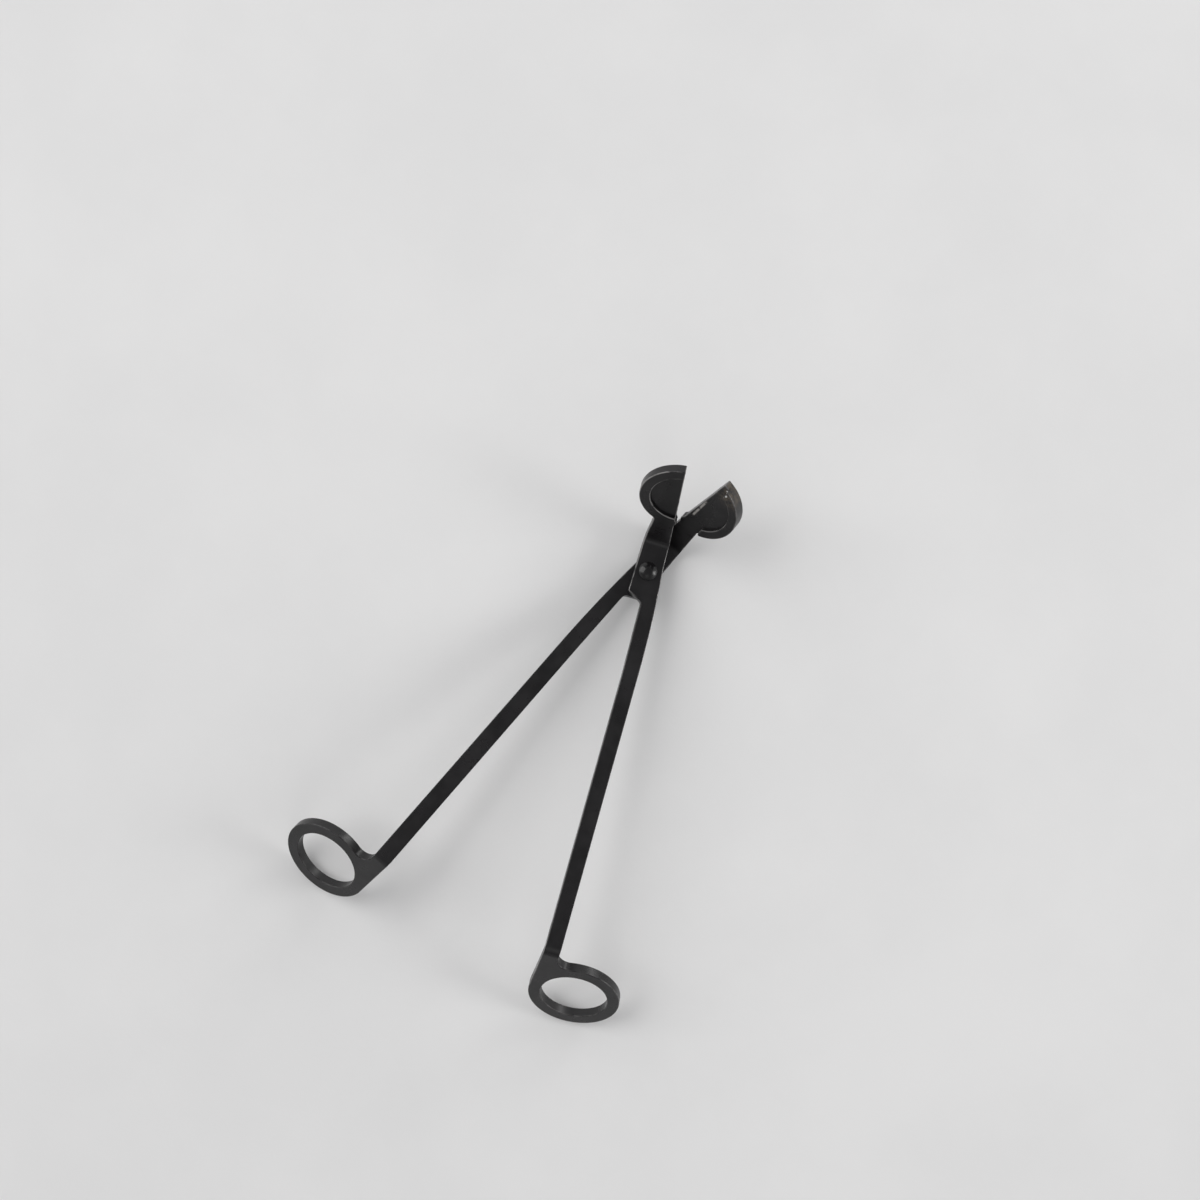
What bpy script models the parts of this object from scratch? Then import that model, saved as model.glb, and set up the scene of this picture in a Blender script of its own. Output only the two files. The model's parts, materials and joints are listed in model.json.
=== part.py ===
"""Wick trimmer: two bent flat-steel levers crossed on one domed rivet, lying open on a table.

Each lever is one strip of plate. Its finger ring is bent down, its straight arm runs to the pivot,
and its half-disc head is bent up. Both levers are drawn flat, as a blank, and then folded. The fold
to the head has one inside radius on both, and both fold to one cut plane that the heads slide on.

Flat coordinates: x across the strip, s along it (positive to the head), h off the cut plane.
Assembly coordinates: origin on the pivot, +Y to the heads, +Z along the rivet, out of the dome.
World: +Z up, the table at z = 0, origin under the middle of the object's box.
"""
import math

import bmesh
import bpy
from mathutils import Matrix, Vector

MM = 0.001

# Plate
THICKNESS = 3.2 * MM
LEVER_GAP = 0.3 * MM
OPENING = math.radians(25.2)

# Arm and ring: inner and outer edge at the pivot, and how far each has moved by the ring's fold
UPPER_ARM = (1.15 * MM, 6.3 * MM)
UPPER_ARM_SHIFT = (0.0, 0.0)
LOWER_ARM = (0.9 * MM, 6.25 * MM)
LOWER_ARM_SHIFT = (-1.05 * MM, -0.85 * MM)
ARM_BEND_Y = 125.5 * MM
RING_BEND_ANGLE = math.radians(53.5)
RING_BEND_INSIDE = 1.5 * MM
RING_OUTER_RADIUS = 15.05 * MM
RING_HOLE_RADIUS = 11.05 * MM
RING_CENTRE_X = 16.1 * MM
RING_CENTRE_RUN = 20.4 * MM
RING_FILLET = 4.0 * MM

# Pivot plate and neck
TAPER_START_Y = -34.0 * MM
TAPER_END = (4.75 * MM, 2.0 * MM)
SHOULDER_CORNER = (-4.45 * MM, -7.9 * MM)
SHOULDER_CORNER_RADIUS = 0.6 * MM
SHOULDER_FOOT = (0.65 * MM, -10.4 * MM)
SHOULDER_FILLET = 1.6 * MM
NECK_OUTER_X = -3.75 * MM
HEAD_BEND_Y = 12.0 * MM
HEAD_BEND_ANGLE = math.radians(63.0)
HEAD_BEND_INSIDE = 3.1 * MM

# Head: distances along it are counted from the fold of the cut plane
DISC_CENTRE_X = 1.9 * MM
DISC_CENTRE_RUN = 26.1 * MM
DISC_RADIUS = 13.45 * MM
BLADE_EDGE_X = 4.84 * MM
BLADE_EDGE_LEAN = 0.127
EDGE_LEAN_RUN = 3.1 * MM
RECESS_RADIUS = 9.9 * MM
RECESS_DEPTH = 1.05 * MM
RIM_INNER_RADIUS = 10.4 * MM
RIM_HEIGHT = 1.2 * MM
RIM_NECK_END_X = -3.95 * MM
RIM_TIP_END_X = -2.2 * MM
RIM_END_RADIUS = 1.0 * MM
NIB_RUN = 14.3 * MM
NIB_LENGTH = 3.4 * MM
NIB_REACH = 0.6 * MM
CLEARANCE_START_X = 2.0 * MM
CLEARANCE_END_X = 5.0 * MM
CLEARANCE_RUN = 17.6 * MM
CLEARANCE_DEPTH = 0.6 * MM

# Rivet
RIVET_HOLE_RADIUS = 2.2 * MM
SHANK_RADIUS = 1.9 * MM
DOME_RADIUS = 3.05 * MM
DOME_HEIGHT = 1.5 * MM
TAIL_RADIUS = 2.7 * MM
TAIL_HEIGHT = 0.8 * MM
SEAT_GAP = 0.3 * MM

# Facets
ARC_STEP = math.radians(7.5)
BEND_CUTS = 8
HOLE_SIDES = 48
RIVET_SIDES = 40

COATING_COLOUR = (0.016, 0.015, 0.016, 1.0)
COATING_ROUGHNESS = 0.42
RIVET_ROUGHNESS = 0.34


def clear_scene():
    for thing in list(bpy.data.objects):
        bpy.data.objects.remove(thing, do_unlink=True)


def coating(name, roughness):
    material = bpy.data.materials.new(name)
    material.use_nodes = True
    shader = material.node_tree.nodes["Principled BSDF"]
    shader.inputs["Base Color"].default_value = COATING_COLOUR
    shader.inputs["Roughness"].default_value = roughness
    shader.inputs["Metallic"].default_value = 0.0
    return material


# ---------------------------------------------------------------- bend profile

class Bend:
    """One fold of the strip: a straight run, an arc, and a straight run off at the fold's angle."""

    def __init__(self, corner, radius, angle):
        tangent = radius * math.tan(angle / 2)
        self.radius = radius
        self.angle = angle
        self.start = corner - tangent
        self.end = self.start + radius * angle
        self.after_corner = self.end - tangent

    def place(self, run):
        """Distance out, distance off the plane, and tilt, at a run along the strip."""
        tilt = min(max((run - self.start) / self.radius, 0.0), self.angle)
        before = min(run, self.start)
        after = max(run - self.end, 0.0)
        out = before + self.radius * math.sin(tilt) + after * math.cos(tilt)
        off = self.radius * (1 - math.cos(tilt)) + after * math.sin(tilt)
        return out, off, tilt


class Profile:
    """Side view of a lever's cut plane, with the ring's fold on one side and the head's on the other."""

    def __init__(self, plate_above):
        side = 1 if plate_above else -1
        shift = side * THICKNESS / 2 * math.tan(RING_BEND_ANGLE / 2)
        radius = RING_BEND_INSIDE if plate_above else RING_BEND_INSIDE + THICKNESS
        self.base = LEVER_GAP / 2 if plate_above else -THICKNESS - LEVER_GAP / 2
        head_radius = HEAD_BEND_INSIDE + self.base + THICKNESS
        self.head = Bend(HEAD_BEND_Y, head_radius, HEAD_BEND_ANGLE)
        self.ring = Bend(ARM_BEND_Y - shift, radius, RING_BEND_ANGLE)
        self.ring_centre = -(self.ring.after_corner + RING_CENTRE_RUN - shift)
        self.arm = UPPER_ARM if plate_above else LOWER_ARM
        self.arm_shift = UPPER_ARM_SHIFT if plate_above else LOWER_ARM_SHIFT

    def arm_edges(self, s):
        """Inner and outer edge of the arm at a flat coordinate between the pivot and the ring's fold."""
        share = -s / ARM_BEND_Y
        return [edge + shift * share for edge, shift in zip(self.arm, self.arm_shift)]

    def head_run(self, run):
        """Flat coordinate of a distance counted along the head from the fold."""
        return self.head.after_corner + run

    def fold(self, x, s, h):
        """Carries a point of the flat blank onto the folded lever."""
        if s >= 0:
            out, off, tilt = self.head.place(s)
            return Vector((x, out - h * math.sin(tilt), off + h * math.cos(tilt)))
        out, off, tilt = self.ring.place(-s)
        return Vector((x, -out - h * math.sin(tilt), -off + h * math.cos(tilt)))

    def cuts(self):
        """Lines across the strip where its faces are divided so that they can fold."""
        for bend, side in ((self.head, 1), (self.ring, -1)):
            for step in range(BEND_CUTS + 1):
                yield side * (bend.start + (bend.end - bend.start) * step / BEND_CUTS)


# ---------------------------------------------------------------- flat outlines

def arc(centre, radius, start, end):
    """Points on an arc from one angle to another, both ends included."""
    steps = max(2, math.ceil(abs(end - start) / ARC_STEP))
    turns = [start + (end - start) * step / steps for step in range(steps + 1)]
    return [(centre[0] + radius * math.cos(turn), centre[1] + radius * math.sin(turn)) for turn in turns]


def rounded(before, corner, after, radius):
    """Arc that rounds the corner between two straight edges."""
    point = Vector(corner)
    to_before = (Vector(before) - point).normalized()
    to_after = (Vector(after) - point).normalized()
    half = to_before.angle(to_after) / 2
    centre = point + (to_before + to_after).normalized() * (radius / math.sin(half))
    reach = radius / math.tan(half)
    first = point + to_before * reach - centre
    last = point + to_after * reach - centre
    start = math.atan2(first.y, first.x)
    turn = math.remainder(math.atan2(last.y, last.x) - start, 2 * math.pi)
    return arc(centre, radius, start, start + turn)


def blade_edge_x(run):
    """How far across the strip the straight cutting edge is, at a distance along the head."""
    return BLADE_EDGE_X - BLADE_EDGE_LEAN * run


def disc_angle_at(x):
    """Angle on the disc, from its centre, where its lower half meets a line along the strip."""
    return -math.acos((x - DISC_CENTRE_X) / DISC_RADIUS)


def tip_angle():
    """Angle on the disc where the straight edge leaves it at the tip."""
    lean = math.atan(BLADE_EDGE_LEAN)
    offset = (blade_edge_x(DISC_CENTRE_RUN) - DISC_CENTRE_X) * math.cos(lean)
    return math.pi / 2 + lean + math.asin(-offset / DISC_RADIUS)


def ring_outline(profile):
    """Ring and its fillet, from the arm's inner edge round to the arm's outer edge."""
    centre = (RING_CENTRE_X, profile.ring_centre)
    arm_outer = profile.arm_edges(-ARM_BEND_Y)[1]
    fillet_x = arm_outer + RING_FILLET
    reach = RING_OUTER_RADIUS + RING_FILLET
    fillet = (fillet_x, centre[1] + math.sqrt(reach ** 2 - (fillet_x - RING_CENTRE_X) ** 2))
    meet = math.atan2(fillet[1] - centre[1], fillet[0] - centre[0])
    ring = arc(centre, RING_OUTER_RADIUS, math.pi, meet + 2 * math.pi)
    return ring + arc(fillet, RING_FILLET, meet + math.pi, math.pi)[1:]


def taper_outline(profile):
    """Long shallow arc that draws the arm's outer edge in to the pivot plate."""
    end_x, end_y = TAPER_END
    arm_outer = profile.arm_edges(TAPER_START_Y)[1]
    drop = arm_outer - end_x
    length = end_y - TAPER_START_Y
    radius = (length ** 2 + drop ** 2) / (2 * drop)
    sweep = math.asin(length / radius)
    steps = 6
    turns = [sweep * step / steps for step in range(steps + 1)]
    centre_x = arm_outer - radius
    return [(centre_x + radius * math.cos(turn), TAPER_START_Y + radius * math.sin(turn)) for turn in turns]


def blade_outline(profile):
    """Straight cutting edge with its stop nib, up to the tip."""
    runs = (
        (EDGE_LEAN_RUN, 0.0),
        (NIB_RUN - NIB_LENGTH / 2, 0.0),
        (NIB_RUN - NIB_LENGTH / 4, NIB_REACH),
        (NIB_RUN + NIB_LENGTH / 8, NIB_REACH),
        (NIB_RUN + NIB_LENGTH / 2, 0.0),
    )
    return [(blade_edge_x(run) + reach, profile.head_run(run)) for run, reach in runs]


def disc_outline(profile):
    """Round back of the head, from the tip to the neck."""
    centre = (DISC_CENTRE_X, profile.head_run(DISC_CENTRE_RUN))
    return arc(centre, DISC_RADIUS, tip_angle(), 2 * math.pi + disc_angle_at(NECK_OUTER_X))


def shoulder_outline(profile):
    """Neck side and rounded shoulder of the pivot plate, down to the arm's inner edge."""
    neck = (NECK_OUTER_X, HEAD_BEND_Y)
    arm = (profile.arm_edges(TAPER_START_Y)[0], TAPER_START_Y)
    arm_end = (profile.arm_edges(-ARM_BEND_Y)[0], -ARM_BEND_Y)
    corner = rounded(neck, SHOULDER_CORNER, SHOULDER_FOOT, SHOULDER_CORNER_RADIUS)
    foot = rounded(SHOULDER_CORNER, SHOULDER_FOOT, arm, SHOULDER_FILLET)
    return [neck] + corner + foot + [arm, arm_end]


def lever_outline(profile):
    return (
        ring_outline(profile)
        + taper_outline(profile)
        + blade_outline(profile)
        + disc_outline(profile)
        + shoulder_outline(profile)
    )


def rim_outline(profile):
    """Area of the lower head that keeps its raised rim. It overshoots the disc, whose wall it leaves whole."""
    centre = (DISC_CENTRE_X, profile.head_run(DISC_CENTRE_RUN))
    beyond = DISC_RADIUS + THICKNESS
    turn_x = RIM_NECK_END_X - RIM_END_RADIUS
    turn_drop = math.sqrt((DISC_RADIUS - RIM_END_RADIUS) ** 2 - (turn_x - DISC_CENTRE_X) ** 2)
    free_end = math.atan2(-turn_drop, turn_x - DISC_CENTRE_X)
    outer_tip = math.acos((RIM_TIP_END_X - DISC_CENTRE_X) / beyond)
    inner_tip = math.acos((RIM_TIP_END_X - DISC_CENTRE_X) / RIM_INNER_RADIUS)
    inner_neck = 2 * math.pi - math.acos((RIM_NECK_END_X - DISC_CENTRE_X) / RIM_INNER_RADIUS)
    outer = arc(centre, beyond, outer_tip, 2 * math.pi + free_end)
    rounding = arc((turn_x, centre[1] - turn_drop), RIM_END_RADIUS, free_end, 0)
    return outer + rounding + arc(centre, RIM_INNER_RADIUS, inner_neck, inner_tip)


# ---------------------------------------------------------------- solids

def prism(name, outline, low, high):
    """Closed prism over a flat outline, between two heights."""
    shape = bmesh.new()
    corners = [shape.verts.new((x, s, low)) for x, s in outline]
    floor = shape.faces.new(corners)
    raised = bmesh.ops.extrude_face_region(shape, geom=[floor])["geom"]
    lifted = [part for part in raised if isinstance(part, bmesh.types.BMVert)]
    bmesh.ops.translate(shape, vec=(0, 0, high - low), verts=lifted)
    bmesh.ops.recalc_face_normals(shape, faces=shape.faces[:])
    return finish(name, shape)


def round_outline(centre, radius, sides=HOLE_SIDES):
    turns = [2 * math.pi * side / sides for side in range(sides)]
    return [(centre[0] + radius * math.cos(turn), centre[1] + radius * math.sin(turn)) for turn in turns]


def finish_mesh(name, mesh):
    """Puts a mesh into a new object in the scene."""
    thing = bpy.data.objects.new(name, mesh)
    bpy.context.scene.collection.objects.link(thing)
    return thing


def finish(name, shape):
    """Puts a bmesh into a new object in the scene."""
    mesh = bpy.data.meshes.new(name)
    shape.to_mesh(mesh)
    shape.free()
    return finish_mesh(name, mesh)


def cut(blank, cutters):
    """Cuts each cutter out of the blank, and gives the mesh that is left."""
    for cutter in cutters:
        modifier = blank.modifiers.new(cutter.name, "BOOLEAN")
        modifier.operation = "DIFFERENCE"
        modifier.solver = "EXACT"
        modifier.object = cutter
    bpy.context.view_layer.update()
    evaluated = blank.evaluated_get(bpy.context.evaluated_depsgraph_get())
    result = bpy.data.meshes.new_from_object(evaluated)
    for thing in [blank] + cutters:
        bpy.data.objects.remove(thing, do_unlink=True)
    return result


def folded(name, flat, profile, mirror):
    """Divides a flat mesh along the bends and folds it. The lower lever is mirrored."""
    shape = bmesh.new()
    shape.from_mesh(flat)
    for s in profile.cuts():
        geometry = shape.verts[:] + shape.edges[:] + shape.faces[:]
        bmesh.ops.bisect_plane(shape, geom=geometry, plane_co=(0, s, 0), plane_no=(0, 1, 0))
    bmesh.ops.triangulate(shape, faces=shape.faces[:])
    for corner in shape.verts:
        corner.co = profile.fold(*corner.co)
        if mirror:
            corner.co.x = -corner.co.x
    if mirror:
        bmesh.ops.reverse_faces(shape, faces=shape.faces[:])
    lever = finish(name, shape)
    lever.data.shade_smooth()
    lever.data.set_sharp_from_angle(angle=math.radians(30))
    return lever


def through_hole(name, centre, radius, profile):
    """Round cutter that passes right through the plate."""
    margin = THICKNESS
    return prism(name, round_outline(centre, radius), profile.base - margin, profile.base + THICKNESS + margin)


def neck_clearance(profile):
    """Stand-in: a wedge off the underside of the upper neck, so that it clears the lower fold."""
    corners = (
        (CLEARANCE_START_X, -THICKNESS),
        (CLEARANCE_START_X, 0),
        (CLEARANCE_END_X, CLEARANCE_DEPTH),
        (CLEARANCE_END_X, -THICKNESS),
    )
    shape = bmesh.new()
    for s in (profile.head.start, profile.head_run(CLEARANCE_RUN)):
        for x, rise in corners:
            shape.verts.new((x, s, profile.base + rise))
    bmesh.ops.convex_hull(shape, input=shape.verts[:])
    return finish("neck_clearance", shape)


def upper_lever():
    """Front lever: its head is a half disc with a shallow round tray cut into it."""
    profile = Profile(plate_above=True)
    top = profile.base + THICKNESS
    blank = prism("upper_blank", lever_outline(profile), profile.base, top)
    disc_centre = (DISC_CENTRE_X, profile.head_run(DISC_CENTRE_RUN))
    tray = prism("tray_cutter", round_outline(disc_centre, RECESS_RADIUS, 2 * HOLE_SIDES),
                 top - RECESS_DEPTH, top + THICKNESS)
    cutters = [
        through_hole("upper_ring_cutter", (RING_CENTRE_X, profile.ring_centre), RING_HOLE_RADIUS, profile),
        through_hole("upper_rivet_cutter", (0, 0), RIVET_HOLE_RADIUS, profile),
        tray,
        neck_clearance(profile),
    ]
    return folded("upper_lever", cut(blank, cutters), profile, mirror=False)


def planing_cutter(profile, top):
    """Takes the extra height off the whole lower blank except along its rim."""
    margin = THICKNESS
    left = DISC_CENTRE_X - DISC_RADIUS - margin
    right = RING_CENTRE_X + RING_OUTER_RADIUS + margin
    near = profile.ring_centre - RING_OUTER_RADIUS - margin
    far = profile.head_run(DISC_CENTRE_RUN) + DISC_RADIUS + 2 * margin
    block = prism("block", [(left, near), (right, near), (right, far), (left, far)], top, top + 2 * margin)
    rim = prism("rim_area", rim_outline(profile), top - margin, top + 3 * margin)
    return finish_mesh("planing_cutter", cut(block, [rim]))


def lower_lever():
    """Rear lever: its head is a flat half-disc blade with a raised rim round its back."""
    profile = Profile(plate_above=False)
    top = profile.base + THICKNESS
    blank = prism("lower_blank", lever_outline(profile), profile.base, top + RIM_HEIGHT)
    cutters = [
        planing_cutter(profile, top),
        through_hole("lower_ring_cutter", (RING_CENTRE_X, profile.ring_centre), RING_HOLE_RADIUS, profile),
        through_hole("lower_rivet_cutter", (0, 0), RIVET_HOLE_RADIUS, profile),
    ]
    return folded("lower_lever", cut(blank, cutters), profile, mirror=True)


def pivot_rivet():
    """Turned rivet: dome on the upper lever, shank through both, peened tail under the lower lever."""
    seat = THICKNESS + LEVER_GAP / 2 + SEAT_GAP
    sphere = (DOME_RADIUS ** 2 + DOME_HEIGHT ** 2) / (2 * DOME_HEIGHT)
    edge = math.asin(DOME_RADIUS / sphere)
    dome_steps = 8
    dome = []
    for step in range(dome_steps + 1):
        lean = edge * step / dome_steps
        dome.append((sphere * math.sin(lean), seat + DOME_HEIGHT - sphere * (1 - math.cos(lean))))
    tail = [
        (SHANK_RADIUS, seat),
        (SHANK_RADIUS, -seat),
        (TAIL_RADIUS, -seat),
        (TAIL_RADIUS * 0.93, -seat - TAIL_HEIGHT * 0.6),
        (TAIL_RADIUS * 0.7, -seat - TAIL_HEIGHT),
        (0.0, -seat - TAIL_HEIGHT),
    ]
    shape = bmesh.new()
    corners = [shape.verts.new((radius, 0, height)) for radius, height in dome + tail]
    edges = [shape.edges.new(pair) for pair in zip(corners, corners[1:])]
    bmesh.ops.spin(shape, geom=corners + edges, cent=(0, 0, 0), axis=(0, 0, 1),
                   angle=2 * math.pi, steps=RIVET_SIDES)
    bmesh.ops.remove_doubles(shape, verts=shape.verts[:], dist=0.00001)
    bmesh.ops.recalc_face_normals(shape, faces=shape.faces[:])
    rivet = finish("pivot_rivet", shape)
    rivet.data.shade_smooth()
    rivet.data.set_sharp_from_angle(angle=math.radians(40))
    return rivet


# ---------------------------------------------------------------- placing

def corners_of(lever, turn, keep):
    """Corner points of a lever after it is opened, limited to one end of it."""
    opened = Matrix.Rotation(turn, 3, "Z")
    return [opened @ corner.co for corner in lever.data.vertices if keep(corner.co)]


def resting_turn(feet):
    """Tilt that brings the lowest points of three feet to one level."""
    turn = Matrix.Identity(3)
    for _ in range(8):
        lowest = [min((turn @ point for point in foot), key=lambda point: point.z) for foot in feet]
        normal = (lowest[1] - lowest[0]).cross(lowest[2] - lowest[0]).normalized()
        if normal.z < 0:
            normal.negate()
        turn = normal.rotation_difference(Vector((0, 0, 1))).to_matrix() @ turn
    return turn


def place(upper, lower, rivet):
    """Opens the levers and lays them down on both rings and on the lower lever's neck fold."""
    half = OPENING / 2
    ring_end = -ARM_BEND_Y
    feet = [
        corners_of(upper, half, lambda corner: corner.y < ring_end),
        corners_of(lower, -half, lambda corner: corner.y < ring_end),
        corners_of(lower, -half, lambda corner: corner.y > 0),
    ]
    turn = resting_turn(feet)
    everything = [turn @ point for lever, angle in ((upper, half), (lower, -half))
                  for point in corners_of(lever, angle, lambda corner: True)]
    low = Vector([min(point[axis] for point in everything) for axis in range(3)])
    high = Vector([max(point[axis] for point in everything) for axis in range(3)])
    middle = (low + high) / 2

    axis = bpy.data.objects.new("pivot_axis", None)
    bpy.context.scene.collection.objects.link(axis)
    axis.matrix_world = Matrix.Translation((-middle.x, -middle.y, -low.z)) @ turn.to_4x4()
    for piece, angle in ((upper, half), (lower, -half), (rivet, 0.0)):
        piece.parent = axis
        piece.rotation_euler = (0, 0, angle)


def main():
    clear_scene()
    upper = upper_lever()
    lower = lower_lever()
    rivet = pivot_rivet()
    upper.data.materials.append(coating("black_coating_upper", COATING_ROUGHNESS))
    lower.data.materials.append(coating("black_coating_lower", COATING_ROUGHNESS))
    rivet.data.materials.append(coating("black_rivet", RIVET_ROUGHNESS))
    place(upper, lower, rivet)


main()
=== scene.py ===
"""Looks of the wick trimmer: satin black levers and rivet, lying open on a pale table.

Each lever is drawn flat as a blank, cut, given rounded edges, and then folded into its three-part
bend. Lengths are in metres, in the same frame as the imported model. Flat coordinates are x across
the strip, s along it (positive to the head) and h off the plane that the two heads cut on.
"""

import json
import math

import bmesh
import bpy
from mathutils import Matrix, Vector


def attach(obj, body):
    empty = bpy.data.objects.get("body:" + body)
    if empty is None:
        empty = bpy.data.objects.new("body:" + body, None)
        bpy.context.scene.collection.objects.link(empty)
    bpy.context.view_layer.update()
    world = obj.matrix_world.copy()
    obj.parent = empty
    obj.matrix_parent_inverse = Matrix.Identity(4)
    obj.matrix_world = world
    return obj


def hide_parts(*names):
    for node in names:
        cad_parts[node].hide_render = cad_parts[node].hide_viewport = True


MM = 0.001

# Plate
THICKNESS = 3.2 * MM
LEVER_GAP = 0.3 * MM
OPENING = math.radians(25.2)

# Arm and ring: inner and outer edge at the pivot, and how far each has moved by the ring's fold
UPPER_ARM = (1.15 * MM, 6.3 * MM)
UPPER_ARM_SHIFT = (0.0, 0.0)
LOWER_ARM = (0.9 * MM, 6.25 * MM)
LOWER_ARM_SHIFT = (-1.05 * MM, -0.85 * MM)
ARM_BEND_Y = 125.5 * MM
RING_BEND_ANGLE = math.radians(53.5)
RING_BEND_INSIDE = 1.5 * MM
RING_OUTER_RADIUS = 15.05 * MM
RING_HOLE_RADIUS = 11.05 * MM
RING_CENTRE_X = 16.1 * MM
RING_CENTRE_RUN = 20.4 * MM
RING_FILLET = 4.0 * MM

# Pivot plate and neck
TAPER_START_Y = -34.0 * MM
TAPER_END = (4.75 * MM, 2.0 * MM)
SHOULDER_CORNER = (-4.45 * MM, -7.9 * MM)
SHOULDER_CORNER_RADIUS = 0.7 * MM
SHOULDER_FOOT = (0.65 * MM, -10.4 * MM)
SHOULDER_FILLET = 1.6 * MM
NECK_OUTER_X = -3.75 * MM
NECK_FILLET = 1.3 * MM
HEAD_BEND_Y = 12.0 * MM
HEAD_BEND_ANGLE = math.radians(63.0)
HEAD_BEND_INSIDE = 3.1 * MM

# Head: distances along it are counted from the fold of the cut plane
DISC_CENTRE_X = 1.9 * MM
DISC_CENTRE_RUN = 26.1 * MM
DISC_RADIUS = 13.45 * MM
BLADE_EDGE_X = 4.84 * MM
BLADE_EDGE_LEAN = 0.127
EDGE_LEAN_RUN = 3.1 * MM
RECESS_RADIUS = 9.9 * MM
RECESS_DEPTH = 1.05 * MM
RIM_INNER_RADIUS = 10.4 * MM
RIM_HEIGHT = 1.2 * MM
RIM_NECK_END_X = -3.95 * MM
RIM_TIP_END_X = -2.2 * MM
RIM_END_RADIUS = 1.0 * MM
RIM_END_OVERSHOOT = 0.4 * MM
TAPER_STEPS = 14
NIB_STEPS = 10
DOME_STEPS = 20
RIVET_ROUNDING = 0.08 * MM
NIB_RUN = 14.3 * MM
NIB_LENGTH = 3.4 * MM
NIB_REACH = 0.6 * MM
CLEARANCE_START_X = 2.0 * MM
CLEARANCE_END_X = 5.0 * MM
CLEARANCE_RUN = 17.6 * MM
CLEARANCE_DEPTH = 0.6 * MM

# Rivet
RIVET_HOLE_RADIUS = 2.2 * MM
SHANK_RADIUS = 1.9 * MM
DOME_RADIUS = 3.05 * MM
DOME_HEIGHT = 1.5 * MM
DOME_LIP = 0.2 * MM
TAIL_RADIUS = 2.7 * MM
TAIL_HEIGHT = 0.8 * MM
SEAT_GAP = 0.3 * MM

# Fineness of the meshes
ARC_STEP = math.radians(3.0)
BEND_CUTS = 20
HOLE_SIDES = 120
RIVET_SIDES = 72
EDGE_ROUNDING = 0.28 * MM
EDGE_SEGMENTS = 3
CORNER_ROOM = 0.50 * MM
WELD = 0.002 * MM
SHARP_ANGLE = math.radians(35)
CREASE_COSINE = math.cos(math.radians(50))

# The strip's flat coordinates are kept as texture coordinates, in decimetres.
UV_SCALE = 10.0

# Rubbed streak beside the lower blade's edge: (x, run along the head)
STREAK_START = (1.26 * MM, 19.4 * MM)
STREAK_END = (0.75 * MM, 28.1 * MM)
STREAK_HALF_WIDTH = 0.42 * MM

# Bare specks at the tip of the lower head's rim: (x, run along the head, radius)
CHIPS = (
    (-2.6 * MM, 37.3 * MM, 0.42 * MM),
    (-1.9 * MM, 38.1 * MM, 0.26 * MM),
)

# Brown rubbed patch on the wall behind those specks: (x, run along the head), radius
BROWN_PATCH = (-2.8 * MM, 38.6 * MM)
BROWN_PATCH_RADIUS = 5.0 * MM

# Where the edges are rubbed and lightened as a painted highlight, from the arm to the plate and from the
# ring to the arm
HEAD_WEAR_AND_HIGHLIGHT = (-10.0 * MM, -7.0 * MM)
RING_WEAR_AND_HIGHLIGHT = (-134.0 * MM, -126.0 * MM)
RING_WEAR_AND_HIGHLIGHT_SHARE = 0.35

# Table flecks: cells to the metre, and the fleck's radius as a share of a cell
FLECK_SCALE = 16.0
FLECK_SHARE = 0.007

# Colours are linear
BLACK_DEEP = (0.0058, 0.0054, 0.0058, 1.0)
BLACK_PALE = (0.0125, 0.0117, 0.0124, 1.0)
# Worn edge colour, also a painted highlight that lightens the rounded edges
WORN_AND_HIGHLIGHT_GREY = (0.300, 0.290, 0.285, 1.0)
RUBBED_GREY = (0.300, 0.285, 0.270, 1.0)
RUBBED_BROWN = (0.058, 0.046, 0.034, 1.0)
BARE_STEEL = (0.560, 0.550, 0.540, 1.0)
TABLE_PALE = (0.765, 0.763, 0.763, 1.0)
TABLE_DARK = (0.730, 0.729, 0.730, 1.0)
TABLE_FLECK = (0.050, 0.045, 0.040, 1.0)
ROOM_HORIZON = (0.980, 0.985, 0.990, 1.0)
ROOM_OVERHEAD = (0.285, 0.285, 0.292, 1.0)
NEAR_SIDE_SHADE = 0.35
NEAR_SIDE_STARTS = 0.40
HORIZON_ENDS = 0.12
CEILING_STARTS = 0.80

# Strength of the coating's reflections
COATING_SHEEN = 0.38

# Camera: straight down, turned so that the trimmer leans to the right
CAMERA_HEIGHT = 0.5476
CAMERA_TURN = math.radians(28.93)
CAMERA_PIVOT_OFFSET = Vector((15.32 * MM, 8.99 * MM))
CAMERA_LENS = 49.28
CAMERA_SENSOR = 36.0

# Soft lights: (name, bearing left of the view's top, elevation, distance, size, power)
LIGHTS = (
    ("left_window", 58.0, 40.0, 2.40, 2.00, 36.0),
    ("right_panel", -96.0, 20.0, 1.70, 0.60, 12.0),
    ("far_panel", -45.0, 17.0, 1.70, 0.50, 5.0),
    ("near_panel", 180.0, 54.0, 1.70, 0.80, 1.3),
)
LIGHT_COLOUR = (1.0, 0.995, 0.985)
FLOOR_SIZE = 6.0


# ---------------------------------------------------------------- bend profile

class Bend:
    """One fold of the strip: a straight run, an arc, and a straight run off at the fold's angle."""

    def __init__(self, corner, radius, angle):
        tangent = radius * math.tan(angle / 2)
        self.radius = radius
        self.angle = angle
        self.start = corner - tangent
        self.end = self.start + radius * angle
        self.after_corner = self.end - tangent

    def place(self, run):
        """Distance out, distance off the plane, and tilt, at a run along the strip."""
        tilt = min(max((run - self.start) / self.radius, 0.0), self.angle)
        before = min(run, self.start)
        after = max(run - self.end, 0.0)
        out = before + self.radius * math.sin(tilt) + after * math.cos(tilt)
        off = self.radius * (1 - math.cos(tilt)) + after * math.sin(tilt)
        return out, off, tilt


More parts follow.
